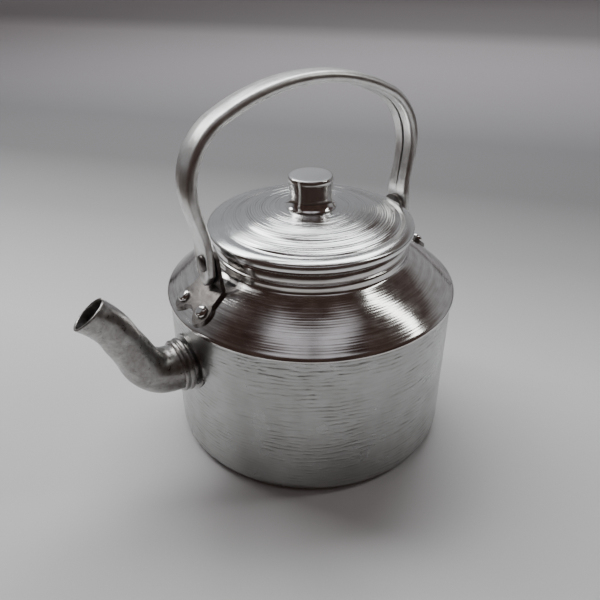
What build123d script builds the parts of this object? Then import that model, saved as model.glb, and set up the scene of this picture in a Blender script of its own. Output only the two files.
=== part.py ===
from build123d import *
import os
from math import cos, radians, sin, sqrt

# Aluminium kettle, 2 litre size, millimetres.
# Origin: middle of the flat bottom.  +Z up, spout along -X, handle hinge line along X.

os.makedirs("parts", exist_ok=True)

SHEET = 1.2                 # wall, shoulder and lid sheet
POT_R = 80.2                # outside radius of the straight wall
POT_CORNER = 7.0            # outside radius between bottom and wall
SEAM_Z = 91.3               # top of the rolled seam between wall and shoulder
SEAM_R = 81.4               # outside radius of the seam
SEAM_DROP = 2.6             # depth of the seam fold down the wall
NECK_R = 53.2               # outside radius of the neck
NECK_FOOT_Z = 111.2         # where the shoulder cone turns into the neck
NECK_TOP_Z = 125.2          # edge the lid rests on
NECK_FOOT_R = 54.2          # slightly wider band at the foot of the neck
NECK_GROOVE_Z = 115.4       # groove rolled above that band
NECK_ROLL_Z = 119.4         # where the neck starts to turn in
NECK_MOUTH_R = 52.3         # outside radius of the mouth above that
LID_R = 56.6                # outside radius of the lid lip
LID_LIP_Z = 122.9           # lower edge of the lid lip
LID_TOP_Z = 135.0           # flat seat under the knob
LID_SKIRT_R = 50.6          # outside radius of the lid skirt
LID_SKIRT_Z = 113.0         # lower edge of the lid skirt
KNOB_FOOT_R = 14.0
KNOB_WAIST_R = 11.6
KNOB_HEAD_R = 12.2
KNOB_TOP_Z = 152.3
SPOUT_Z = 64.5              # height of the spout where it leaves the wall
SPOUT_SHEET = 1.1
SOCKET_R = 11.0             # outside radius of the stub under the spout
HANDLE_W = 16.4             # width of the handle strip
HANDLE_T = 6.0              # depth of the rolled channel
HANDLE_SHEET = 1.2
HANDLE_SLIT = 2.0           # gap between the two rolled edges
PIVOT_Z = 119.5             # height of the handle hinge line
HANDLE_LEAN = 3.5           # degrees the handle rests away from upright, toward +Y
PIVOT_R = 2.5               # pivot shank radius
TONGUE_X = 63.2             # inner face of the flattened handle end
TONGUE_T = 4.4              # depth of the flattened handle end
EAR_T = 2.0
EAR_X = 60.9                # inner face of the upright ear tab
RIVET_R = 2.0               # ear rivet shank radius
RIVET_HEAD_R = 3.6
RIVET_U = 74.2              # ear rivets: distance from the axis
RIVET_Y = 9.5               # ear rivets: offset to each side

CONE_RUN = POT_R - NECK_R
CONE_RISE = NECK_FOOT_Z - SEAM_Z
CONE_LEN = sqrt(CONE_RUN**2 + CONE_RISE**2)
CONE_NZ = CONE_RUN / CONE_LEN       # outward normal of the shoulder, vertical part
CONE_CROWN = 1.0                    # how far the shoulder bulges above a straight cone


def cone_z(r, lift=0.0):
    """Height of a surface lift mm above the crowned shoulder, at radius r."""
    t = (r - NECK_R) / CONE_RUN
    return SEAM_Z + (1 - t) * CONE_RISE + 4 * CONE_CROWN * t * (1 - t) + lift / CONE_NZ


def cone_line(r_from, r_to, lift=0.0):
    """Points along the shoulder profile from one radius to another."""
    steps = 8
    radii = [r_from + (r_to - r_from) * k / steps for k in range(steps + 1)]
    return [(r, cone_z(r, lift)) for r in radii]


def rivet_plane(side, y):
    """Plane on top of the ear foot with its normal square to the shoulder."""
    r = sqrt(RIVET_U**2 + y**2)
    x = side * RIVET_U
    fall = (cone_z(r - 0.5) - cone_z(r + 0.5)) / r
    return Plane(origin=(x, y, cone_z(r, EAR_T)), x_dir=(-y / r, x / r, 0),
                 z_dir=(fall * x, fall * y, 1))


def write(part, name):
    """Label one finished sub-part and write its file."""
    part.label = name
    export_step(part, "parts/" + name + ".step")


# ---- pot body: straight wall and flat bottom, deep drawn in one piece ----
with BuildPart() as pot_body:
    with BuildSketch(Plane.XZ):
        with BuildLine():
            Polyline((0, 0), (POT_R, 0), (POT_R, SEAM_Z - SHEET), (0, SEAM_Z - SHEET), close=True)
        make_face()
    revolve(axis=Axis.Z)
    fillet(pot_body.edges().filter_by(GeomType.CIRCLE).group_by(Axis.Z)[0], POT_CORNER)
    offset(amount=-SHEET, openings=pot_body.faces().sort_by(Axis.Z)[-1])
    with BuildSketch(Plane.YZ.offset(-POT_R - 5)):
        with Locations((0, SPOUT_Z)):
            Circle(SOCKET_R + 0.05)
    extrude(amount=15, mode=Mode.SUBTRACT)
write(pot_body.part, "pot_body")

# ---- shoulder: spun cone and neck, folded down over the top of the wall ----
with BuildPart() as shoulder:
    with BuildSketch(Plane.XZ):
        with BuildLine():
            Polyline(
                (POT_R, SEAM_Z - SEAM_DROP), (SEAM_R, SEAM_Z - SEAM_DROP),
                (SEAM_R, SEAM_Z - 0.4), (SEAM_R - 0.5, SEAM_Z),
                *cone_line(POT_R, NECK_FOOT_R),
                (NECK_FOOT_R, NECK_GROOVE_Z - 0.7), (NECK_R - 0.1, NECK_GROOVE_Z - 0.2),
                (NECK_R, NECK_GROOVE_Z + 0.4), (NECK_R, NECK_ROLL_Z),
                (NECK_MOUTH_R, NECK_ROLL_Z + 1.2), (NECK_MOUTH_R, NECK_TOP_Z),
                (NECK_MOUTH_R - SHEET, NECK_TOP_Z), (NECK_MOUTH_R - SHEET, NECK_ROLL_Z),
                *cone_line(NECK_R - SHEET, POT_R - 0.9, -SHEET),
                (POT_R - 0.5, SEAM_Z - SHEET), (POT_R, SEAM_Z - SHEET), close=True)
        make_face()
    revolve(axis=Axis.Z)
    for side in (-1, 1):
        for y in (-RIVET_Y, RIVET_Y):
            with BuildSketch(rivet_plane(side, y)):
                Circle(RIVET_R + 0.03)
            extrude(amount=-8, mode=Mode.SUBTRACT)
write(shoulder.part, "shoulder")

# ---- spout socket: short stub through the wall with a curved flange outside ----
with BuildPart() as spout_socket:
    with BuildSketch(Plane.XY.offset(SPOUT_Z - 20)):
        Circle(POT_R + 1.1)
        Circle(POT_R, mode=Mode.SUBTRACT)
    extrude(amount=40)
    with BuildSketch(Plane.YZ.offset(-90)):
        with Locations((0, SPOUT_Z)):
            Circle(SOCKET_R + 4.6)
    extrude(amount=30, mode=Mode.INTERSECT)
    with BuildSketch(Plane.YZ.offset(-86.5)):
        with Locations((0, SPOUT_Z)):
            Circle(SOCKET_R)
    extrude(amount=10.0)
    with BuildSketch(Plane.YZ.offset(-90)):
        with Locations((0, SPOUT_Z)):
            Circle(SOCKET_R - SPOUT_SHEET)
    extrude(amount=30, mode=Mode.SUBTRACT)
write(spout_socket.part, "spout_socket")

# ---- spout tube: tapering swan-neck tube, mouth cut on the slant ----
# each station: distance from the axis, height, climb in degrees, outside radius
SPOUT_PATH = [
    (82.8, SPOUT_Z, 0, 12.4), (85.9, SPOUT_Z, 0, 12.4), (89.0, SPOUT_Z, 0, 12.4),
    (96.1, 65.88, 22, 12.1), (102.2, 69.83, 44, 11.3), (106.4, 75.77, 66, 10.5),
    (110.6, 85.2, 66, 9.8), (114.8, 94.7, 66, 9.4), (119.7, 103.4, 55, 9.25),
    (126.2, 111.0, 44, 9.3), (133.4, 117.95, 44, 9.6)]
MOUTH = Plane(origin=(-128.5, 0, 110.0), x_dir=(0, 1, 0), z_dir=(-0.56, 0, 0.83))

with BuildPart() as spout_tube:
    for u, z, climb, r in SPOUT_PATH:
        travel = Vector(-1, 0, 0).rotate(Axis.Y, climb)
        with BuildSketch(Plane(origin=(-u, 0, z), x_dir=(0, 1, 0), z_dir=travel)):
            Circle(r)
    loft()
    for u, z, climb, r in SPOUT_PATH:
        travel = Vector(-1, 0, 0).rotate(Axis.Y, climb)
        with BuildSketch(Plane(origin=(-u, 0, z), x_dir=(0, 1, 0), z_dir=travel)):
            Circle(r - SPOUT_SHEET)
    loft(mode=Mode.SUBTRACT)
    split(bisect_by=MOUTH, keep=Keep.BOTTOM)
write(spout_tube.part, "spout_tube")

# ---- spout collar: two beads rolled in a ring round the root of the spout ----
COLLAR_X = -82.6
with BuildPart() as spout_collar:
    with BuildSketch(Plane.XZ):
        with BuildLine():
            Polyline((COLLAR_X, SPOUT_Z + 12.45), (COLLAR_X, SPOUT_Z + 13.6))
            ThreePointArc((COLLAR_X, SPOUT_Z + 13.6), (COLLAR_X - 1.5, SPOUT_Z + 14.5),
                          (COLLAR_X - 3.0, SPOUT_Z + 13.3))
            ThreePointArc((COLLAR_X - 3.0, SPOUT_Z + 13.3), (COLLAR_X - 4.4, SPOUT_Z + 14.2),
                          (COLLAR_X - 5.8, SPOUT_Z + 13.2))
            Polyline((COLLAR_X - 5.8, SPOUT_Z + 13.2), (COLLAR_X - 5.8, SPOUT_Z + 12.45),
                     (COLLAR_X, SPOUT_Z + 12.45))
        make_face()
    revolve(axis=Axis((0, 0, SPOUT_Z), (1, 0, 0)))
write(spout_collar.part, "spout_collar")

# ---- lid: pressed dome with two steps, rolled lip and skirt ----
with BuildPart() as lid_shell:
    with BuildSketch(Plane.XZ):
        with BuildLine():
            Polyline(
                (2.05, LID_TOP_Z), (16.4, LID_TOP_Z), (26.0, LID_TOP_Z - 0.7),
                (37.8, LID_TOP_Z - 2.9), (38.8, LID_TOP_Z - 3.7), (48.0, LID_TOP_Z - 6.0),
                (49.0, LID_TOP_Z - 7.0))
            Spline((49.0, LID_TOP_Z - 7.0), (52.0, LID_TOP_Z - 7.0),
                   (LID_R - 1.0, LID_TOP_Z - 8.3))
            ThreePointArc((LID_R - 1.0, LID_TOP_Z - 8.3), (LID_R - 0.2, LID_TOP_Z - 9.0),
                          (LID_R, LID_TOP_Z - 10.0))
            Polyline(
                (LID_R, LID_TOP_Z - 10.0), (LID_R, LID_LIP_Z), (LID_R - 1.1, LID_LIP_Z),
                (LID_R - 1.1, NECK_TOP_Z), (LID_SKIRT_R, NECK_TOP_Z),
                (LID_SKIRT_R, LID_SKIRT_Z), (LID_SKIRT_R - 1.0, LID_SKIRT_Z),
                (LID_SKIRT_R - 1.0, NECK_TOP_Z + 1.6), (47.5, LID_TOP_Z - 7.2),
                (38.6, LID_TOP_Z - 4.9), (37.4, LID_TOP_Z - 4.0), (26.0, LID_TOP_Z - 1.9),
                (16.2, LID_TOP_Z - 1.2),
                (2.05, LID_TOP_Z - 1.2), (2.05, LID_TOP_Z))
        make_face()
    revolve(axis=Axis.Z)
write(lid_shell.part, "lid_shell")

# ---- lid knob: turned solid, waisted, with a flared foot ----
with BuildPart() as lid_knob:
    with BuildSketch(Plane.XZ):
        with BuildLine():
            Polyline((0, LID_TOP_Z), (KNOB_FOOT_R, LID_TOP_Z), (KNOB_FOOT_R, LID_TOP_Z + 0.8))
            Spline((KNOB_FOOT_R, LID_TOP_Z + 0.8), (12.2, LID_TOP_Z + 3.0),
                   (KNOB_WAIST_R, LID_TOP_Z + 8.0), (KNOB_HEAD_R, KNOB_TOP_Z - 2.0))
            ThreePointArc((KNOB_HEAD_R, KNOB_TOP_Z - 2.0), (KNOB_HEAD_R - 0.2, KNOB_TOP_Z - 0.8),
                          (KNOB_HEAD_R - 1.4, KNOB_TOP_Z))
            Polyline((KNOB_HEAD_R - 1.4, KNOB_TOP_Z), (0, KNOB_TOP_Z), (0, LID_TOP_Z))
        make_face()
    revolve(axis=Axis.Z)
    with BuildSketch(Plane.XY.offset(LID_TOP_Z)):
        Circle(2.0)
    extrude(amount=8, mode=Mode.SUBTRACT)
write(lid_knob.part, "lid_knob")

# ---- knob washer and knob screw, under the lid ----
WASHER_Z = LID_TOP_Z - 1.2
with BuildPart() as knob_washer:
    with BuildSketch(Plane.XY.offset(WASHER_Z - 1.0)):
        Circle(6.0)
        Circle(2.1, mode=Mode.SUBTRACT)
    extrude(amount=1.0)
write(knob_washer.part, "knob_washer")

with BuildPart() as knob_screw:
    with BuildSketch(Plane.XY.offset(WASHER_Z - 1.0)):
        Circle(1.95)
    extrude(amount=9.2)
    with BuildSketch(Plane.XY.offset(WASHER_Z - 1.0)):
        Circle(3.9)
    extrude(amount=-2.4)
    fillet(knob_screw.edges().filter_by(GeomType.CIRCLE).sort_by(Axis.Z)[0], 1.4)
    with BuildSketch(Plane.XY.offset(WASHER_Z - 3.4)):
        Rectangle(9.0, 0.9)
    extrude(amount=1.1, mode=Mode.SUBTRACT)
write(knob_screw.part, "knob_screw")

# ---- ears: bent plates riveted to the shoulder, one over the spout, one behind ----
EAR_TAB_W = 7.8
EAR_BEND_Z = cone_z(EAR_X) + 0.1
for side, name in ((-1, "front_ear"), (1, "rear_ear")):
    with BuildPart() as ear:
        with BuildSketch(Plane.XZ):
            with BuildLine():
                Polyline(*cone_line(EAR_X - 0.6, 80.2), *cone_line(80.2, EAR_X - 0.6, EAR_T),
                         close=True)
            make_face()
        revolve(axis=Axis.Z)
        with BuildSketch(Plane.XY.offset(85)):
            with Locations((side * RIVET_U, RIVET_Y), (side * RIVET_U, -RIVET_Y)):
                Circle(5.3)
            with BuildLine():
                Polyline(
                    (side * EAR_X, -11.0), (side * (RIVET_U - 1.5), -13.0),
                    (side * (RIVET_U + 2.6), -6.0), (side * (RIVET_U + 1.0), 0),
                    (side * (RIVET_U + 2.6), 6.0), (side * (RIVET_U - 1.5), 13.0),
                    (side * EAR_X, 11.0), close=True)
            make_face()
        extrude(amount=40, mode=Mode.INTERSECT)
        with BuildSketch(Plane.YZ.offset(side * EAR_X)):
            with BuildLine():
                Polyline((-EAR_TAB_W, PIVOT_Z), (-11.0, EAR_BEND_Z), (11.0, EAR_BEND_Z),
                         (EAR_TAB_W, PIVOT_Z))
                ThreePointArc((EAR_TAB_W, PIVOT_Z), (0, PIVOT_Z + 7.4), (-EAR_TAB_W, PIVOT_Z))
            make_face()
        extrude(amount=side * EAR_T)
        with BuildSketch(Plane.YZ.offset(side * (EAR_X - 1))):
            with Locations((0, PIVOT_Z)):
                Circle(PIVOT_R + 0.05)
        extrude(amount=side * 5, mode=Mode.SUBTRACT)
        for y in (-RIVET_Y, RIVET_Y):
            with BuildSketch(rivet_plane(side, y)):
                Circle(RIVET_R + 0.03)
            extrude(amount=-8, mode=Mode.SUBTRACT)
    write(ear.part, name)

# ---- ear rivets: domed head outside, flat closed head inside ----
for side, end in ((-1, "front"), (1, "rear")):
    for y, hand in ((-RIVET_Y, "near"), (RIVET_Y, "far")):
        with BuildPart() as rivet:
            with BuildSketch(rivet_plane(side, y)):
                Circle(RIVET_HEAD_R)
            extrude(amount=2.2)
            crown = rivet.edges().filter_by(GeomType.CIRCLE)
            fillet(crown.sort_by_distance(rivet_plane(side, y).origin)[-1], 2.0)
            with BuildSketch(rivet_plane(side, y)):
                Circle(RIVET_R)
            extrude(amount=-EAR_T - SHEET - 0.9)
            with BuildSketch(rivet_plane(side, y).offset(-EAR_T - SHEET - 0.1)):
                Circle(3.0)
            extrude(amount=-1.2)
        write(rivet.part, end + "_ear_rivet_" + hand)

# ---- pivot rivets: the handle turns on these ----
for side, end in ((-1, "front"), (1, "rear")):
    outer = TONGUE_X + TONGUE_T + 0.15
    with BuildPart() as pivot:
        with BuildSketch(Plane.YZ.offset(side * (EAR_X - 1.4))):
            with Locations((0, PIVOT_Z)):
                Circle(3.9)
        extrude(amount=side * 1.4)
        with BuildSketch(Plane.YZ.offset(side * EAR_X)):
            with Locations((0, PIVOT_Z)):
                Circle(PIVOT_R)
        extrude(amount=side * (outer - EAR_X))
        with BuildSketch(Plane.YZ.offset(side * outer)):
            with Locations((0, PIVOT_Z)):
                Circle(4.6)
        extrude(amount=side * 1.5)
        rim = pivot.edges().filter_by(GeomType.CIRCLE).sort_by(Axis.X)
        fillet(rim[-1] if side > 0 else rim[0], 1.2)
    write(pivot.part, end + "_pivot_rivet")

# ---- handle: one strip rolled into a slit channel, ends flattened to tongues ----
LEG_X = TONGUE_X + TONGUE_T / 2
HINGE = Axis((0, 0, PIVOT_Z), (1, 0, 0))
LEG_LEAN = 0.27                 # outward lean of the leg just above the tongue
LEG_FOOT = (-LEG_X - 1.4, 138.0)
BOW_SIDE_R = 35.0               # bend at each side of the bow
BOW_CROWN_R = 110.4             # flatter bend over the top
BOW_SIDE = [(-35.3 - BOW_SIDE_R * cos(radians(a)), 157.5 + BOW_SIDE_R * sin(radians(a)))
            for a in (0, 16, 32, 48)]
BOW_CROWN = [(-BOW_CROWN_R * cos(radians(a)), 90.4 + BOW_CROWN_R * sin(radians(a)))
             for a in (63, 70, 77, 84)]
HALF_BOW = [LEG_FOOT, (-69.1, 147.5)] + BOW_SIDE + BOW_CROWN
with BuildPart() as handle_bail:
    with BuildLine(Plane.XZ) as bow:
        Spline(HALF_BOW + [(0, 200.8)] + [(-x, z) for x, z in HALF_BOW[::-1]])
    foot = Plane(origin=(LEG_FOOT[0], 0, LEG_FOOT[1]), x_dir=(0, 1, 0), z_dir=(-LEG_LEAN, 0, 1))
    with BuildSketch(foot):
        RectangleRounded(HANDLE_W, HANDLE_T, 2.3)
        RectangleRounded(HANDLE_W - 2 * HANDLE_SHEET, HANDLE_T - 2 * HANDLE_SHEET, 1.1,
                         mode=Mode.SUBTRACT)
        with Locations((0, -HANDLE_T / 2)):
            Rectangle(HANDLE_SLIT, 2 * HANDLE_SHEET + 0.4, mode=Mode.SUBTRACT)
    sweep(path=bow.line)
    for side in (-1, 1):
        with BuildSketch(Plane(origin=(side * LEG_X, 0, 128.5), x_dir=(0, 1, 0), z_dir=(0, 0, 1))):
            RectangleRounded(16.0, TONGUE_T, 1.6)
        top = Plane(origin=(-side * LEG_FOOT[0], 0, LEG_FOOT[1]), x_dir=(0, 1, 0),
                    z_dir=(side * LEG_LEAN, 0, 1))
        with BuildSketch(top.offset(1.8)):
            RectangleRounded(HANDLE_W - 0.6, HANDLE_T - 0.6, 2.0)
        loft()
        with BuildSketch(Plane.YZ.offset(side * TONGUE_X)):
            with BuildLine():
                Polyline((-2.4, 108.4), (-8.0, 114.0), (-8.0, 128.6), (8.0, 128.6), (8.0, 114.0),
                         (2.4, 108.4))
                ThreePointArc((2.4, 108.4), (0, 107.5), (-2.4, 108.4))
            make_face()
            with Locations((0, PIVOT_Z)):
                Circle(PIVOT_R + 0.05, mode=Mode.SUBTRACT)
        extrude(amount=side * TONGUE_T)
        with BuildSketch(Plane.YZ.offset(side * (TONGUE_X + HANDLE_SHEET))):
            with Locations((0, 116)):
                Rectangle(13.6, 24)
        extrude(amount=side * (TONGUE_T - 2 * HANDLE_SHEET), mode=Mode.SUBTRACT)
write(handle_bail.part.rotate(HINGE, -HANDLE_LEAN), "handle_bail")
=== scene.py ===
import bpy
import math
import numpy as np
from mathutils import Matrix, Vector


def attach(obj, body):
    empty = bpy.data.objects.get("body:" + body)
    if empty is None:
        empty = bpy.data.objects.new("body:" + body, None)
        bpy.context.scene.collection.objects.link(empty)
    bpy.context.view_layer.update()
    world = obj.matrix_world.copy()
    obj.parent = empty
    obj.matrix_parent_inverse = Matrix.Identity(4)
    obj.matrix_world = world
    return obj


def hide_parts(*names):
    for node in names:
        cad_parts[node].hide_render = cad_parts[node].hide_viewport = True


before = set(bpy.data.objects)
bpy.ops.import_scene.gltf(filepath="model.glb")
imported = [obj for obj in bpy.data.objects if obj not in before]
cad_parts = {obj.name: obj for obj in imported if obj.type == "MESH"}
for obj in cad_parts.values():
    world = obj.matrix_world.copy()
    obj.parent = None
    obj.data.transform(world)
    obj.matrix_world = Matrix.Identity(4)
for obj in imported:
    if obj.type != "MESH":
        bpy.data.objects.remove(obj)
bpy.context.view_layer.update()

# ------------------------------------------------------------------------------------------
# Pot wall and bottom.  One deep-drawn aluminium cup, skimmed on a lathe, so the wall keeps
# fine broken turning lines, painted darker as painted shade in them.  The metal is cloudy, and
# it is painted darker lower down, as painted shade near the floor.
# ------------------------------------------------------------------------------------------


class Number:
    """A number inside a material.  Arithmetic on it adds Math nodes to the same material."""

    def __init__(self, finish, socket):
        self.finish = finish
        self.socket = socket

    def math(self, operation, *values):
        settings = {"operation": operation}
        return self.finish.node("ShaderNodeMath", settings, dict(enumerate(values)))

    def __add__(self, other):
        return self.math("ADD", self, other)

    def __radd__(self, other):
        return self.math("ADD", other, self)

    def __sub__(self, other):
        return self.math("SUBTRACT", self, other)

    def __rsub__(self, other):
        return self.math("SUBTRACT", other, self)

    def __mul__(self, other):
        return self.math("MULTIPLY", self, other)

    def __rmul__(self, other):
        return self.math("MULTIPLY", other, self)

    def __truediv__(self, other):
        return self.math("DIVIDE", self, other)

    def __pow__(self, other):
        return self.math("POWER", self, other)

    def sine(self):
        return self.math("SINE", self)

    def clip(self, low, high, to_low=0.0, to_high=1.0):
        """Straight map of low..high to to_low..to_high, held at both ends."""
        values = {"Value": self, "From Min": low, "From Max": high,
                  "To Min": to_low, "To Max": to_high}
        return self.finish.node("ShaderNodeMapRange", {"clamp": True}, values)


class Recipe:
    """Short calls for the nodes of one material or of the room's light."""

    def begin(self, owner, coordinate):
        owner.use_nodes = True
        self.tree = owner.node_tree
        where = self.tree.nodes.new("ShaderNodeTexCoord")
        split = self.tree.nodes.new("ShaderNodeSeparateXYZ")
        self.place = Number(self, where.outputs[coordinate])
        self.tree.links.new(where.outputs[coordinate], split.inputs[0])
        self.x, self.y, self.z = (Number(self, split.outputs[i]) for i in range(3))

    def node(self, kind, settings, values, out=0):
        made = self.tree.nodes.new(kind)
        for key, value in settings.items():
            if key == "stops":
                ramp = made.color_ramp
                while len(ramp.elements) < len(value):
                    ramp.elements.new(0.5)
                for stop, (at, colour) in zip(ramp.elements, value):
                    stop.position = at
                    stop.color = (*colour, 1.0)
            else:
                setattr(made, key, value)
        for key, value in values.items():
            if isinstance(value, Number):
                self.tree.links.new(value.socket, made.inputs[key])
            else:
                made.inputs[key].default_value = value
        return Number(self, made.outputs[out])

    def vector(self, x, y, z):
        return self.node("ShaderNodeCombineXYZ", {}, {0: x, 1: y, 2: z})

    def noise(self, vector, scale, detail=2.0, rough=0.5, twist=0.0):
        values = {"Vector": vector, "Scale": scale, "Detail": detail, "Roughness": rough,
                  "Distortion": twist}
        return self.node("ShaderNodeTexNoise", {}, values)

    def shade(self, factor, stops):
        return self.node("ShaderNodeValToRGB", {"stops": stops}, {0: factor})

    def blend(self, factor, one, two):
        values = {0: factor, 6: one, 7: two}
        return self.node("ShaderNodeMix", {"data_type": "RGBA"}, values, out=2)

    def bump(self, height, distance, strength=1.0, under=None):
        values = {"Height": height, "Distance": distance, "Strength": strength}
        if under is not None:
            values["Normal"] = under
        return self.node("ShaderNodeBump", {}, values)


class Finish(Recipe):
    """One finish, bare metal unless it says otherwise: a material with a Principled shader."""

    def __init__(self, name, metallic=1.0):
        self.material = bpy.data.materials.new(name)
        self.begin(self.material, "Object")
        self.shader = self.tree.nodes["Principled BSDF"]
        self.shader.inputs["Metallic"].default_value = metallic
        self.shader.inputs["IOR"].default_value = 1.45

    def set(self, **sockets):
        for key, value in sockets.items():
            name = key.replace("_", " ").title()
            if isinstance(value, Number):
                self.tree.links.new(value.socket, self.shader.inputs[name])
            else:
                self.shader.inputs[name].default_value = value
        return self.material

    def around(self):
        """Place on a turned surface: x and y over the radius, then the radius itself."""
        radius = (self.x ** 2 + self.y ** 2) ** 0.5 + 1e-6
        return self.x / radius, self.y / radius, radius


WALL_LINE_PITCH = 0.0024      # metres, as lengths in all the finishes


def wall_finish():
    """Turning lines: a sharpened sine of the height at the lines' pitch, cut into dashes by
    noise and missing in slow patches, and painted darker as painted shade in the lines.
    Painted shade: the colour is darker low down, near the floor."""
    metal = Finish("wall_satin")
    cx, cy, _ = metal.around()
    drift = metal.noise(metal.vector(cx * 2.0, cy * 2.0, metal.z * 60.0), 1.0, 2.0, 0.5)
    phase = metal.z * (2 * math.pi / WALL_LINE_PITCH) + drift * 22.0
    groove = (phase.sine() * 0.5 + 0.5) ** 3.0
    dash = metal.noise(metal.vector(cx * 9.0, cy * 9.0, metal.z * 420.0), 1.0, 3.0, 0.6)
    gaps = metal.noise(metal.vector(cx * 3.0, cy * 3.0, metal.z * 45.0), 1.0, 2.0, 0.55)
    fine = metal.noise(metal.vector(cx * 8.0, cy * 8.0, metal.z * 1700.0), 1.0, 2.0, 0.55)
    patches = metal.noise(metal.vector(cx * 6.0, cy * 6.0, metal.z * 75.0), 1.0, 2.0, 0.5)
    deep = groove * dash.clip(0.40, 0.66) * gaps.clip(0.36, 0.58, 0.10, 1.0)
    lines = fine * 0.4 + deep
    # Painted shade: the wall's colour darkens towards the floor, from 45 mm down to 4 mm.
    low = metal.z.clip(0.004, 0.045, 1.0, 0.0)
    # Colour darkening: random tone from fine and patches, painted shade along the turning lines
    # (deep) and low down (low).
    dark = (fine.clip(0.3, 0.7, 0.0, 0.14) + deep * 0.62 + low * 0.10
            + patches.clip(0.35, 0.65, 0.0, 0.14))
    tint = metal.shade(dark, [(0.0, (0.54, 0.55, 0.545)), (0.5, (0.37, 0.37, 0.355)),
                              (1.0, (0.21, 0.20, 0.19))])
    rough = patches.clip(0.3, 0.7, 0.26, 0.34) + deep * 0.06
    swell = metal.bump(patches, 0.0006, 0.20)
    grooved = metal.bump(lines, 0.00020, 0.9, swell)
    return metal.set(base_color=tint, roughness=rough, normal=grooved)


def paint(node, material):
    """Give a CAD node the material in every slot it has."""
    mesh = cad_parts[node].data
    mesh.materials.clear()
    mesh.materials.append(material)


satin_wall = wall_finish()
paint("pot_body", satin_wall)

# ------------------------------------------------------------------------------------------
# Shoulder and neck.  Spun from one sheet and burnished, then folded down over the wall.
# Shallow tool rings run round the cone and a bead stiffens the neck.
# ------------------------------------------------------------------------------------------


def soften(points, times=2):
    """Cut each corner: every side keeps its points a quarter and three quarters along."""
    points = np.asarray(points, float)
    for _ in range(times):
        one = 0.75 * points[:-1] + 0.25 * points[1:]
        two = 0.25 * points[:-1] + 0.75 * points[1:]
        middle = np.stack([one, two], 1).reshape(-1, points.shape[1])
        points = np.vstack([points[:1], middle, points[-1:]])
    return points


def even(points, step):
    """The same line with points step apart along its length."""
    points = np.asarray(points, float)
    along = np.append(0, np.cumsum(np.linalg.norm(np.diff(points, axis=0), axis=1)))
    count = max(2, int(round(along[-1] / step)) + 1)
    at = np.linspace(0, along[-1], count)
    return np.stack([np.interp(at, along, points[:, k]) for k in range(points.shape[1])], 1)


def ripple(profile, where, depth, pitch, seed):
    """Push a profile along its normal by two sine waves of near pitch, only where is true."""
    slope = np.gradient(profile, axis=0)
    normal = np.stack([slope[:, 1], -slope[:, 0]], 1)
    normal /= np.linalg.norm(normal, axis=1)[:, None] + 1e-12
    along = np.append(0, np.cumsum(np.linalg.norm(np.diff(profile, axis=0), axis=1)))
    wave = np.sin(2 * np.pi * along / pitch + seed)
    wave += 0.7 * np.sin(2 * np.pi * along / (pitch * 1.73) + 2.1 * seed)
    return profile - normal * (wave * depth * where)[:, None]


MM = 0.001


def sheet_mesh(name, points, wrap_u=False, wrap_v=False, cap_start=False, cap_end=False):
    """Grid of points[u, v] to a mesh of quads; caps close an end ring with one centre."""
    nu, nv = points.shape[:2]
    index = np.arange(nu * nv).reshape(nu, nv)
    if wrap_u:
        index = np.vstack([index, index[:1]])
    if wrap_v:
        index = np.hstack([index, index[:, :1]])
    quads = np.stack([index[:-1, :-1], index[:-1, 1:], index[1:, 1:], index[1:, :-1]], -1)
    faces = quads.reshape(-1, 4).tolist()
    verts = points.reshape(-1, 3)
    for wanted, ring, turn in ((cap_start, index[0], 1), (cap_end, index[-1], -1)):
        if wanted:
            centre = len(verts)
            verts = np.vstack([verts, verts[ring[:-1]].mean(0)])
            pairs = np.stack([ring[:-1], ring[1:]], 1)[:, ::turn]
            fan = np.hstack([pairs, np.full((len(pairs), 1), centre)])[:, ::-1]
            faces += fan.tolist()
    mesh = bpy.data.meshes.new(name)
    mesh.from_pydata((verts * MM).tolist(), [], faces)
    mesh.polygons.foreach_set("use_smooth", np.ones(len(mesh.polygons), bool))
    mesh.update()
    return mesh


def place(mesh, material, body, replaced):
    """Put a finished mesh in the scene, on its body, in place of the CAD nodes it shows."""
    mesh.materials.append(material)
    piece = bpy.data.objects.new(mesh.name, mesh)
    bpy.context.scene.collection.objects.link(piece)
    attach(piece, body)
    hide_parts(*replaced)


def turned(profile, steps, centre=(0, 0, 0), axis=(0, 0, 1), side=(1, 0, 0)):
    """Profile (radius, height) swung round the axis: centre + radius*(cos, sin) + height."""
    axis = np.asarray(axis, float) / np.linalg.norm(axis)
    side = np.asarray(side, float)
    side = side - axis * (side @ axis)
    side /= np.linalg.norm(side)
    across = np.cross(axis, side)
    angle = np.linspace(0, 2 * np.pi, steps, endpoint=False)
    spoke = np.cos(angle)[:, None] * side + np.sin(angle)[:, None] * across
    ring = profile[:, 0][:, None, None] * spoke[None]
    return np.asarray(centre, float) + ring + profile[:, 1][:, None, None] * axis


POT_R, SEAM_R, SEAM_Z, FOLD = 80.2, 81.4, 91.3, 2.6
NECK_R, MOUTH_R, NECK_TOP_Z = 53.2, 52.3, 125.2
CONE_RISE, CONE_RUN, CONE_CROWN = 19.9, 27.0, 1.0
SHEET = 1.2


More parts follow.
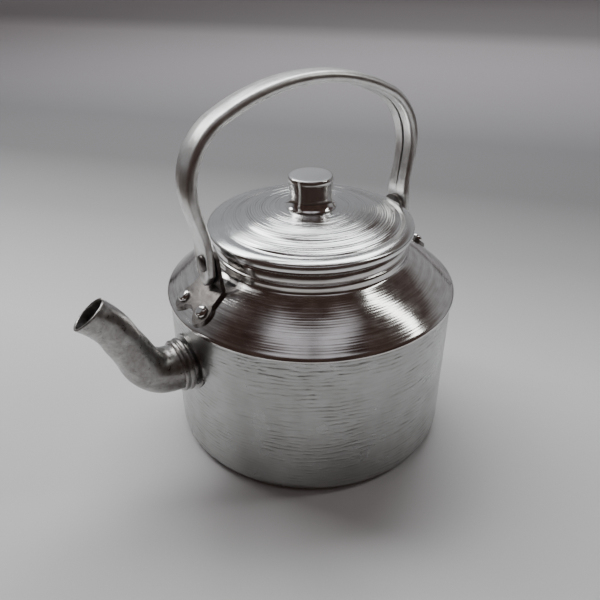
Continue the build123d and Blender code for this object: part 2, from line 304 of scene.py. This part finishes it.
def shoulder_finish():
    """Burnished sheet: fine rings in the radius, thin smears round the cone, brown stain."""
    metal = Finish("shoulder_burnished")
    cx, cy, radius = metal.around()
    rings = metal.noise(metal.vector(cx * 0.9, cy * 0.9, radius * 1500.0 + metal.z * 700.0),
                        1.0, 3.0, 0.6)
    broad = metal.noise(metal.vector(cx * 3.0, cy * 3.0, radius * 420.0 + metal.z * 200.0),
                        1.0, 2.0, 0.5)
    smear = metal.noise(metal.vector(cx * 7.0, cy * 7.0, metal.z * 420.0), 1.0, 2.0, 0.5)
    tint = metal.shade(smear * 0.5 + rings * 0.5,
                       [(0.35, (0.56, 0.53, 0.51)), (0.60, (0.80, 0.79, 0.78))])
    rough = smear.clip(0.3, 0.7, 0.07, 0.13) + rings * 0.05
    ringed = metal.bump(rings * 0.5 + broad, 0.00010, 0.5)
    return metal.set(base_color=tint, roughness=rough, normal=ringed)


def cone_line(start, stop, lift):
    """Shoulder profile: straight fall from neck to seam plus a parabola of the crown's height."""
    radius = np.linspace(start, stop, 12)
    part = (radius - NECK_R) / CONE_RUN
    height = SEAM_Z + CONE_RISE * (1 - part) + 4 * CONE_CROWN * part * (1 - part) + lift
    return list(zip(radius, height))


outer = soften([(POT_R, SEAM_Z - FOLD), (SEAM_R - 0.2, SEAM_Z - FOLD), (SEAM_R, SEAM_Z - 2.3),
                (SEAM_R, SEAM_Z - 1.5), (SEAM_R - 0.25, SEAM_Z - 0.9), (80.5, SEAM_Z - 0.15),
                *cone_line(79.4, 55.0, 0.0), (54.3, 110.9), (54.25, 114.5), (53.1, 115.1),
                (53.15, 115.6), (53.6, 115.9), (53.4, 119.3), (52.4, 120.4),
                (MOUTH_R, 121.2), (MOUTH_R, NECK_TOP_Z), (MOUTH_R - SHEET, NECK_TOP_Z)])
outer = even(outer, 0.25)
on_cone = (outer[:, 0] < 79.0) & (outer[:, 0] > 55.5)
outer = ripple(outer, on_cone, depth=0.006, pitch=1.35, seed=0.6)
inner = even([(MOUTH_R - SHEET, NECK_TOP_Z), (MOUTH_R - SHEET, 119.4),
              *cone_line(52.0, 79.3, -1.49), (79.7, SEAM_Z - SHEET), (POT_R, SEAM_Z - SHEET),
              (POT_R, SEAM_Z - FOLD)], 2.0)[1:-1]
burnished = shoulder_finish()
shoulder_mesh = sheet_mesh("shoulder_spun", turned(np.vstack([outer, inner]), steps=320),
                           wrap_u=True, wrap_v=True)
place(shoulder_mesh, burnished, "kettle", ["shoulder"])

# ------------------------------------------------------------------------------------------
# Lid.  Pressed and spun dome with two steps, a rolled lip and a skirt that drops in the neck.
# The tool leaves rings about a millimetre apart all the way to the knob.
# ------------------------------------------------------------------------------------------
LID_RING_PITCH = 0.00135


def lid_finish():
    """Silver with tool rings: a sharpened sine of the radius at the rings' pitch, deep or faint
    by noise, over finer rings of noise.  None under the knob or past the last step.
    The ring valleys are painted darker, as painted shade in them."""
    metal = Finish("lid_ringed")
    cx, cy, radius = metal.around()
    rings = metal.noise(metal.vector(cx * 0.35, cy * 0.35, radius * 1900.0), 1.0, 2.0, 0.6)
    choice = metal.noise(metal.vector(cx * 0.8, cy * 0.8, radius * 420.0), 1.0, 1.0, 0.5)
    drift = metal.noise(metal.vector(cx * 0.5, cy * 0.5, radius * 160.0), 1.0, 1.0, 0.5)
    phase = radius * (2 * math.pi / LID_RING_PITCH) + drift * 12.0
    cut = (phase.sine() * 0.5 + 0.5) ** 3.0 * choice.clip(0.38, 0.62)
    cut = cut * radius.clip(0.0165, 0.0175) * radius.clip(0.0495, 0.0502, 1.0, 0.0)
    cloud = metal.noise(metal.place, 55.0, 3.0, 0.6)
    # Painted shade in the ring valleys (cut), over random tone from the finer rings.
    dark = cut * 0.85 + rings.clip(0.40, 0.75) * 0.25
    tint = metal.shade(dark, [(0.0, (0.84, 0.85, 0.85)), (0.5, (0.70, 0.70, 0.70)),
                              (1.0, (0.46, 0.45, 0.44))])
    rough = cloud.clip(0.3, 0.7, 0.12, 0.20) + rings * 0.06
    ringed = metal.bump(rings * 0.3 - cut, 0.00016, 0.8)
    return metal.set(base_color=tint, roughness=rough, normal=ringed)


dome = soften([(0.0, 134.95), (16.2, 134.95), (26.0, 134.25), (33.0, 133.2), (37.9, 132.1),
               (38.6, 131.35), (39.6, 131.2), (44.0, 130.25), (48.0, 129.05), (48.7, 128.2),
               (49.6, 127.95), (52.3, 127.95), (54.6, 127.3), (56.1, 126.4), (56.65, 125.4),
               (56.6, 123.3), (56.3, 122.9), (55.6, 122.9), (55.5, 123.3)])
dome = even(dome, 0.20)
on_dome = (dome[:, 0] < 48.0) & (dome[:, 0] > 17.0)
dome = ripple(dome, on_dome, depth=0.026, pitch=1.12, seed=0.2)
under = even([(55.5, 123.3), (55.5, 125.2), (50.6, 125.2), (50.6, 113.0), (49.6, 113.0),
              (49.6, 126.8), (47.5, 127.8), (38.6, 130.1), (37.4, 131.0), (26.0, 133.1),
              (16.2, 133.8), (0.0, 133.8)], 1.5)[1:]
ringed_lid = lid_finish()
lid_points = turned(np.vstack([dome[1:], under[:-1]])[::-1], steps=256)
lid_mesh = sheet_mesh("lid_dome", lid_points, wrap_v=True, cap_start=True, cap_end=True)
place(lid_mesh, ringed_lid, "lid", ["lid_shell"])

# ------------------------------------------------------------------------------------------
# Knob, washer and screw.  The knob is turned from bar, waisted, polished like a mirror, with
# a plain satin top, painted darker as painted shade.  It is held from below by a slotted screw
# through a washer.
# ------------------------------------------------------------------------------------------


def knob_finish():
    """Mirror metal, satin and painted darker on the flat top as painted shade, with hair-fine
    rings.
    """
    metal = Finish("knob_mirror")
    cx, cy, radius = metal.around()
    rings = metal.noise(metal.vector(cx, cy, radius * 1800.0 + metal.z * 1500.0), 1.0, 2.0, 0.6)
    top = metal.z.clip(0.1517, 0.1520)
    tint = metal.shade(rings, [(0.3, (0.74, 0.72, 0.71)), (0.7, (0.80, 0.79, 0.78))])
    rough = top * 0.30 + 0.07 + rings * 0.04
    # Painted shade: the flat top's colour is set darker than the polished sides.
    tint = metal.blend(top, tint, (0.43, 0.43, 0.44, 1.0))
    ringed = metal.bump(rings, 0.00006, 0.5)
    return metal.set(base_color=tint, roughness=rough, normal=ringed)


knob = soften([(0.0, 152.2), (10.0, 152.2), (11.3, 152.1), (12.0, 151.6), (12.25, 150.6),
               (12.15, 149.0), (11.8, 146.0), (11.5, 142.6), (11.5, 140.2), (11.9, 138.2),
               (12.7, 136.8), (13.5, 136.0), (14.0, 135.5), (14.0, 135.0), (12.5, 135.0),
               (0.0, 135.0)], times=3)
knob = even(knob, 0.3)
mirror = knob_finish()
knob_points = turned(knob[1:-1][::-1], steps=160)
knob_mesh = sheet_mesh("knob_turned", knob_points, wrap_v=True, cap_start=True, cap_end=True)
place(knob_mesh, mirror, "lid", ["lid_knob"])


def zinc_finish():
    """Plain plated steel with a little cloud in it."""
    metal = Finish("zinc_plate")
    cloud = metal.noise(metal.place, 400.0, 3.0, 0.6)
    tint = metal.shade(cloud, [(0.3, (0.50, 0.50, 0.51)), (0.7, (0.62, 0.62, 0.63))])
    grain = metal.bump(cloud, 0.00004, 0.4)
    return metal.set(base_color=tint, roughness=cloud.clip(0.3, 0.7, 0.3, 0.45), normal=grain)


zinc = zinc_finish()
paint("knob_washer", zinc)
paint("knob_screw", zinc)

# ------------------------------------------------------------------------------------------
# Spout.  A tube bent to a swan neck and tumbled, left dull and slightly lumpy, with its mouth
# sawn on the slant.  It is soldered over a stub in the wall; a double-beaded ring hides that.
# ------------------------------------------------------------------------------------------
SPOUT_Z, SPOUT_ROOT, SPOUT_SHEET = 64.5, 82.8, 1.1
MOUTH_POINT, MOUTH_NORMAL = np.array([-128.5, 0, 110.0]), np.array([-0.54, 0.28, 0.79])


def spout_line():
    """Centre line: straight 6.2, bend up 66 degrees at radius 19, straight 20.7,
    bend back 22 degrees at radius 52, straight 10.  Rows: distance, height, climb, length."""
    runs = [(6.2, 0.0), (19.0 * math.radians(66), 66.0), (20.7, 0.0),
            (52.0 * math.radians(22), -22.0), (10.0, 0.0)]
    step = 0.1
    bends = [np.full(int(round(length / step)), math.radians(turn) / round(length / step))
             for length, turn in runs]
    climb = np.cumsum(np.concatenate(bends))
    middle = climb - np.concatenate(bends) / 2
    out = SPOUT_ROOT + np.append(0, np.cumsum(np.cos(middle) * step))
    up = SPOUT_Z + np.append(0, np.cumsum(np.sin(middle) * step))
    return np.stack([out, up, np.append(0, climb), np.arange(len(out)) * step], 1)


line = spout_line()
SPOUT_RADII = np.array([(0, 12.4), (6.2, 12.4), (13.5, 12.15), (20.8, 11.35), (28.1, 10.45),
                        (38.4, 9.75), (48.8, 9.4), (58.8, 9.25), (68.8, 9.35), (78.8, 9.6)])


def spout_point(length, angle, inset):
    """Point on the tube: centre + radius*(cos*up-normal + sin*sideways), radius less inset.
    The tube is lumpy by two slow waves of about a tenth of a millimetre."""
    out, up, climb = (np.interp(length, line[:, 3], line[:, k]) for k in range(3))
    radius = np.interp(length, SPOUT_RADII[:, 0], SPOUT_RADII[:, 1]) - inset
    lump = 0.10 * np.sin(3 * angle + length * 0.21) * np.sin(length * 0.17 + 0.8)
    lump += 0.07 * np.sin(5 * angle - length * 0.33 + 1.0)
    radius = radius + lump * np.clip((length - 6) / 6, 0, 1)
    x = -(out - np.sin(climb) * np.cos(angle) * radius)
    z = up + np.cos(climb) * np.cos(angle) * radius
    return np.stack([x, np.sin(angle) * radius, z], -1)


def spout_shell():
    """Outside from root to mouth, over the cut lip, and back inside to the root.  Each line
    along the tube ends at the mouth plane; the top one has a small nick."""
    angle = np.linspace(0, 2 * np.pi, 128, endpoint=False)
    lengths = np.linspace(40, 78.5, 400)
    probe = spout_point(lengths[:, None], angle[None], 0.5)
    beyond = (probe - MOUTH_POINT) @ MOUTH_NORMAL
    end = lengths[np.argmax(beyond > 0, axis=0)]
    off_top = np.abs((angle + np.pi) % (2 * np.pi) - np.pi)
    end = end - 1.6 * np.clip(1 - off_top / 0.13, 0, 1)
    along = np.linspace(0, 1, 110)[:, None]
    outside = spout_point(along * end, angle[None] + 0 * along, 0.0)
    lip = spout_point(end[None] + 0.25, angle[None], SPOUT_SHEET / 2)
    inside = spout_point(along[::-1] * end, angle[None] + 0 * along, SPOUT_SHEET)
    return np.vstack([outside, lip, inside])


def spout_finish():
    """Tumbled grey-brown metal: broad stain, finer mottle and small pits."""
    metal = Finish("spout_dull")
    stain = metal.noise(metal.place, 90.0, 4.0, 0.65, 0.6)
    mottle = metal.noise(metal.place, 420.0, 4.0, 0.6)
    pits = metal.noise(metal.place, 1500.0, 3.0, 0.6)
    tint = metal.shade(stain * 0.6 + mottle * 0.4,
                       [(0.32, (0.23, 0.21, 0.20)), (0.50, (0.38, 0.37, 0.36)),
                        (0.68, (0.60, 0.60, 0.59))])
    rough = mottle.clip(0.3, 0.7, 0.24, 0.42)
    worn = metal.bump(mottle + pits * 0.5, 0.00009, 0.5, metal.bump(stain, 0.0010, 0.30))
    return metal.set(base_color=tint, roughness=rough, normal=worn)


tumbled = spout_finish()
spout_mesh = sheet_mesh("spout_swan", spout_shell(), wrap_u=True, wrap_v=True)
place(spout_mesh, tumbled, "kettle", ["spout_tube"])
paint("spout_socket", tumbled)

collar = soften([(12.45, 82.6), (13.5, 82.6), (14.3, 83.2), (14.5, 84.1), (14.2, 85.0),
                 (13.35, 85.6), (13.9, 86.1), (14.2, 87.0), (13.9, 87.9), (13.2, 88.4),
                 (12.45, 88.4)])
collar_bore = [(12.45, 85.5)]
collar_points = turned(np.vstack([collar, collar_bore]), steps=128, centre=(0, 0, SPOUT_Z),
                       axis=(-1, 0, 0), side=(0, 0, 1))
collar_mesh = sheet_mesh("spout_collar_ring", collar_points, wrap_u=True, wrap_v=True)
place(collar_mesh, tumbled, "kettle", ["spout_collar"])

# ------------------------------------------------------------------------------------------
# Handle.  One strip of sheet rolled to a flattened channel with a narrow slit inside, bent to
# a bow, and pressed flat at both ends into tongues.  Brushed along its length.
# ------------------------------------------------------------------------------------------
TONGUE_X, PIVOT_Z, PIVOT_R = 65.4, 119.5, 2.5
LEAN = math.radians(3.5)
TIP_Z, LEG_Z, SIDE_Z, LEG_SHIFT = 107.5, 127.5, 157.5, 4.9
SIDE_R, CROWN_R, CROWN_Z, JOIN = 35.0, 113.6, 87.2, math.radians(63.4)
STRIP = 1.2
# Each row: distance from the tip along the bow, then the channel's width, depth or inner slit.
WIDTHS = np.array([(0, 3.4), (0.6, 6.0), (6.5, 15.6), (12, 16.3), (21, 16.2), (28, 15.2),
                   (36, 14.6), (48, 15.4), (64, 16.4), (300, 16.6)])
DEPTHS = np.array([(0, 4.4), (22, 4.4), (30, 4.6), (36, 5.0), (52, 5.8), (300, 6.1)])
SLITS = np.array([(0, 0.05), (22, 0.05), (30, 1.0), (60, 1.9), (300, 2.0)])


def bow_line():
    """Half bow from tip to top: straight up the tongue, outward by 3p^2 - 2p^3 of the leg's
    shift, then an arc for the side and a flatter arc for the crown, which meet at the join
    angle.  Rows: distance from the axis, height."""
    height = np.linspace(TIP_Z, SIDE_Z, 101)
    part = np.clip((height - LEG_Z) / (SIDE_Z - LEG_Z), 0, 1)
    foot = np.stack([TONGUE_X + LEG_SHIFT * (3 * part ** 2 - 2 * part ** 3), height], 1)
    side_x = TONGUE_X + LEG_SHIFT - SIDE_R
    turn = np.linspace(0, JOIN, 90)[1:]
    side = np.stack([side_x + SIDE_R * np.cos(turn), SIDE_Z + SIDE_R * np.sin(turn)], 1)
    top = np.linspace(JOIN, math.pi / 2, 100)[1:]
    crown = np.stack([CROWN_R * np.cos(top), CROWN_Z + CROWN_R * np.sin(top)], 1)
    half = even(np.vstack([foot, side, crown]), 0.7)
    half[-1, 0] = 0.0
    return half


def at_stations(table, from_tip):
    """Column of the table's value at each station, straight between its rows."""
    return np.interp(from_tip, table[:, 0], table[:, 1])[:, None]


def channel_loop(height, reach, from_tip):
    """Section of the rolled strip at each station, as a closed loop of (across, outward).
    The middle of the sheet runs from the slit along the inner lip, round a half circle at the
    edge and over the crowned back; the loop is that line pushed half a sheet to either side.
    The back sinks 0.85 in an oval round the pivot."""
    half_width = (at_stations(WIDTHS, from_tip) - STRIP) / 2
    half_depth = (at_stations(DEPTHS, from_tip) - STRIP) / 2
    half_slit = at_stations(SLITS, from_tip) / 2
    edge = np.linspace(0, 1, 17)
    bend = np.minimum(half_depth, half_width)
    flat = half_width - bend
    lip_y = -(half_slit + (flat - half_slit) * edge)
    lip = np.stack([lip_y, -half_depth + 0 * lip_y], -1)
    turn_y = -flat - bend * np.sin(edge * np.pi)
    turn = np.stack([turn_y, -half_depth * np.cos(edge * np.pi)], -1)
    back_y = -flat * (1 - edge)
    crown = 0.6 * np.clip((from_tip - 20) / 30, 0, 1)[:, None]
    sink = 0.85 * np.exp(-((back_y / 6.0) ** 2 + ((height - PIVOT_Z) / 7.5) ** 2) ** 2)
    sink = sink * (reach > 60)
    back_d = half_depth + crown * (1 - (back_y / half_width) ** 2) * edge ** 0.5 - sink
    half = np.concatenate([lip, turn[:, 1:], np.stack([back_y, back_d], -1)[:, 1:]], 1)
    other = half[:, ::-1][:, 1:] * np.array([-1.0, 1.0])
    middle = np.concatenate([half, other], 1)
    run = np.gradient(middle, axis=1)
    run /= np.linalg.norm(run, axis=2)[..., None] + 1e-9
    push = np.stack([run[..., 1], -run[..., 0]], -1) * STRIP / 2
    return np.concatenate([middle + push, (middle - push)[:, ::-1]], 1)


def handle_shell():
    """The channel's loop carried along the bow, then turned by the lean about the pivots."""
    half = bow_line()
    path = np.vstack([half * np.array([-1.0, 1.0]), half[::-1][1:]])
    along = np.append(0, np.cumsum(np.linalg.norm(np.diff(path, axis=0), axis=1)))
    from_tip = np.minimum(along, along[-1] - along)
    slope = np.gradient(path, along, axis=0)
    slope /= np.linalg.norm(slope, axis=1)[:, None]
    out_x, out_z = -slope[:, 1:], slope[:, :1]
    loop = channel_loop(path[:, 1:], np.abs(path[:, :1]), from_tip)
    x = path[:, :1] + out_x * loop[..., 1]
    z = path[:, 1:] + out_z * loop[..., 1] - PIVOT_Z
    y = loop[..., 0] * math.cos(LEAN) + z * math.sin(LEAN)
    z = PIVOT_Z - loop[..., 0] * math.sin(LEAN) + z * math.cos(LEAN)
    return np.stack([x, y, z], -1)


def bored(mesh, cutter):
    """The mesh with the cutter's volume taken out of it."""
    body = bpy.data.objects.new(mesh.name, mesh)
    tool = bpy.data.objects.new("cutter", cutter)
    for thing in (body, tool):
        bpy.context.scene.collection.objects.link(thing)
    cut = body.modifiers.new("bore", "BOOLEAN")
    cut.operation, cut.solver, cut.object = "DIFFERENCE", "FAST", tool
    ready = body.evaluated_get(bpy.context.evaluated_depsgraph_get())
    result = bpy.data.meshes.new_from_object(ready)
    name = mesh.name
    for thing in (body, tool):
        bpy.data.objects.remove(thing)
    for spent in (mesh, cutter):
        bpy.data.meshes.remove(spent)
    result.name = name
    return result


def handle_finish():
    """Brushed strip: fine scratches along the bow, darker handling marks."""
    metal = Finish("handle_brushed")
    streak = metal.noise(metal.vector(metal.x * 60.0, metal.y * 2600.0, metal.z * 60.0),
                         1.0, 3.0, 0.6)
    marks = metal.noise(metal.place, 120.0, 4.0, 0.6, 0.4)
    tint = metal.shade(marks * 0.7 + streak * 0.3,
                       [(0.3, (0.58, 0.57, 0.55)), (0.6, (0.84, 0.84, 0.83))])
    rough = streak.clip(0.3, 0.7, 0.28, 0.44)
    brushed = metal.bump(streak, 0.00010, 0.5, metal.bump(marks, 0.0004, 0.3))
    return metal.set(base_color=tint, roughness=rough, normal=brushed)


brushed_strip = handle_finish()
handle_mesh = sheet_mesh("handle_bow", handle_shell(), wrap_v=True, cap_start=True, cap_end=True)
HOLE_R = PIVOT_R + 0.05
pin_ends = np.array([(HOLE_R, -75.0), (HOLE_R, 75.0)])
pin_points = turned(pin_ends, steps=48, centre=(0, 0, PIVOT_Z), axis=(1, 0, 0), side=(0, 0, 1))
pin_hole = sheet_mesh("pin_hole", pin_points, wrap_v=True, cap_start=True, cap_end=True)
handle_mesh = bored(handle_mesh, pin_hole)
place(handle_mesh, brushed_strip, "handle", ["handle_bail"])

# ------------------------------------------------------------------------------------------
# Ears and rivets.  Each ear is bent sheet with two round lobes riveted to the shoulder and an
# upright tab for the handle; the rivet heads are domed and bright.
# ------------------------------------------------------------------------------------------


def ear_finish():
    """Dull mill sheet, stained and finely scratched."""
    metal = Finish("ear_sheet")
    stain = metal.noise(metal.place, 160.0, 4.0, 0.65, 0.5)
    scratch = metal.noise(metal.vector(metal.x * 300.0, metal.y * 1800.0, metal.z * 500.0),
                          1.0, 3.0, 0.6)
    tint = metal.shade(stain, [(0.3, (0.13, 0.115, 0.11)), (0.7, (0.27, 0.26, 0.25))])
    rough = scratch.clip(0.3, 0.7, 0.26, 0.42)
    worn = metal.bump(scratch, 0.00008, 0.5, metal.bump(stain, 0.0004, 0.3))
    return metal.set(base_color=tint, roughness=rough, normal=worn)


dull_sheet = ear_finish()
paint("front_ear", dull_sheet)
paint("rear_ear", dull_sheet)
for end in ("front", "rear"):
    for rivet in ("_ear_rivet_near", "_ear_rivet_far"):
        paint(end + rivet, mirror)

pivot = soften([(0.0, 59.5), (3.9, 59.5), (3.9, 60.85), (PIVOT_R, 60.9), (PIVOT_R, 66.95),
                (4.4, 67.0), (4.5, 67.4), (4.1, 68.1), (2.8, 68.6), (0.0, 68.85)])
for side, end in ((-1, "front"), (1, "rear")):
    points = turned(pivot[1:-1], steps=64, centre=(0, 0, PIVOT_Z), axis=(side, 0, 0),
                    side=(0, 0, 1))
    head = sheet_mesh(end + "_pivot_head", points, wrap_v=True, cap_start=True, cap_end=True)
    place(head, dull_sheet, "kettle", [end + "_pivot_rivet"])

# ------------------------------------------------------------------------------------------
# Studio.  The kettle stands on a sheet of pale paper, with painted light and shade in bands
# across it, that lies on a dark table.  Polished metal shows what is round it: the room is pale
# behind and brown in front, with three soft boxes.
# ------------------------------------------------------------------------------------------
TURN = math.radians(-35.0)      # the camera's turn about the kettle's axis


def towards(azimuth, elevation, distance):
    """Step of that length from the kettle's middle; azimuth is from the camera's right hand."""
    a, e = math.radians(azimuth) + TURN, math.radians(elevation)
    return Vector((math.cos(a) * math.cos(e), math.sin(a) * math.cos(e), math.sin(e))) * distance


def soft_box(name, azimuth, elevation, size, power, colour):
    """Rectangular lamp 1.3 m from the kettle's middle, turned to face it."""
    lamp = bpy.data.lights.new(name, "AREA")
    lamp.shape = "RECTANGLE"
    lamp.size, lamp.size_y = size
    lamp.energy = power
    lamp.color = colour
    holder = bpy.data.objects.new(name, lamp)
    bpy.context.scene.collection.objects.link(holder)
    middle = Vector((0, 0, 0.10))
    holder.location = middle + towards(azimuth, elevation, 1.3)
    holder.rotation_euler = (middle - holder.location).to_track_quat("-Z", "Y").to_euler()


soft_box("box_left", 153, 43, (0.30, 0.60), 4.2, (1.0, 0.99, 0.97))
soft_box("box_right", 4, 45, (0.13, 0.60), 1.6, (0.97, 1.0, 0.97))
soft_box("box_back", 100, 60, (1.45, 0.70), 16.5, (0.98, 0.99, 1.0))


def paper_finish():
    """Paper with painted light and shade in soft bands by the distance away, inside three soft
    straight edges, and dark wood outside them."""
    paper = Finish("paper", metallic=0.0)
    fibre = paper.noise(paper.place, 9.0, 3.0, 0.5)
    depth = paper.y * math.cos(TURN) - paper.x * math.sin(TURN)
    aside = paper.x * math.cos(TURN) + paper.y * math.sin(TURN)
    away = (depth + aside * 0.3).clip(-0.5, 2.5)
    # Painted light and shade: the paper's colour rises and falls in bands with the distance away,
    # standing in for how the lamps light it.
    pale = paper.shade(away, [(0.0, (0.72, 0.72, 0.72)), (0.18, (0.79, 0.79, 0.80)),
                              (0.25, (0.40, 0.40, 0.41)), (0.307, (0.225, 0.222, 0.228)),
                              (0.373, (0.235, 0.23, 0.24)), (0.5, (0.47, 0.45, 0.475)),
                              (0.667, (0.80, 0.77, 0.80)), (0.76, (0.60, 0.585, 0.60)),
                              (0.95, (0.88, 0.87, 0.89))])
    left_edge = (aside + depth * 0.45 + 0.36).clip(0.0, 0.11)
    right_edge = (depth * 0.5 - aside + 0.62).clip(0.0, 0.15)
    near_edge = (depth + 0.44).clip(0.0, 0.16)
    sheet = left_edge * right_edge * near_edge
    grain = paper.noise(paper.place, 3.0, 3.0, 0.5)
    wood = paper.shade(grain, [(0.3, (0.05, 0.035, 0.028)), (0.7, (0.09, 0.065, 0.05))])
    return paper.set(base_color=paper.blend(sheet, wood, pale),
                     roughness=fibre.clip(0.3, 0.7, 0.7, 0.8))


floor_grid = np.linspace(-9.0, 9.0, 61)
gx, gy = np.meshgrid(floor_grid, floor_grid, indexing="ij")
floor_mesh = sheet_mesh("floor", np.stack([gx, gy, 0 * gx - 1e-5], -1)[:, ::-1] / MM)
floor_mesh.materials.append(paper_finish())
floor = bpy.data.objects.new("floor", floor_mesh)
bpy.context.scene.collection.objects.link(floor)


class Room(Recipe):
    """Light of the room by direction: x, y, z are the parts of the direction looked in."""

    def __init__(self, world):
        self.begin(world, "Generated")

    def light(self, colour):
        sky = self.tree.nodes["Background"]
        self.tree.links.new(colour.socket, sky.inputs["Color"])


def room_light(world):
    """By direction: behind the kettle a grey that darkens upward, cooler left than right; on
    the camera's side cloudy brown with one pale band high up."""
    air = Room(world)
    toward = air.x * math.sin(TURN) - air.y * math.cos(TURN)
    right = air.x * math.cos(TURN) + air.y * math.sin(TURN)
    cool = air.shade(air.z, [(0.0, (0.34, 0.34, 0.35)), (0.36, (0.31, 0.315, 0.33)),
                             (0.70, (0.26, 0.27, 0.29)), (0.85, (0.045, 0.030, 0.026))])
    warm = air.shade(air.z, [(0.0, (0.34, 0.34, 0.35)), (0.34, (0.28, 0.275, 0.28)),
                             (0.46, (0.085, 0.065, 0.06)), (0.9, (0.045, 0.030, 0.026))])
    behind = air.blend(right.clip(-0.1, 0.4), cool, warm)
    cloud = air.noise(air.place, 3.5, 3.0, 0.6)
    brown = air.shade(cloud, [(0.30, (0.030, 0.018, 0.015)), (0.65, (0.066, 0.043, 0.036))])
    band = air.z.clip(0.84, 0.89) * air.z.clip(0.93, 0.965, 1.0, 0.0) * toward.clip(0.1, 0.3)
    front = air.blend(band * cloud.clip(0.25, 0.5), brown, (0.62, 0.61, 0.65, 1.0))
    air.light(air.blend(toward.clip(-0.35, 0.05), behind, front))


room = bpy.data.worlds.new("room")
bpy.context.scene.world = room
room_light(room)

# The camera's place is metres to its right, backward and up from the middle of the base.
EYE_RIGHT, EYE_BACK, EYE_UP = -0.00598, 0.31384, 0.26451
TILT, ROLL, PAN = 0.54394, 0.0032, -0.0019
lens = bpy.data.cameras.new("camera")
lens.sensor_width = 36.0
lens.lens = 37.2
eye = bpy.data.objects.new("camera", lens)
bpy.context.scene.collection.objects.link(eye)
eye.location = (EYE_RIGHT * math.cos(TURN) + EYE_BACK * math.sin(TURN),
                EYE_RIGHT * math.sin(TURN) - EYE_BACK * math.cos(TURN), EYE_UP)
eye.rotation_euler = (math.pi / 2 - TILT, ROLL, TURN + PAN)
bpy.context.scene.camera = eye
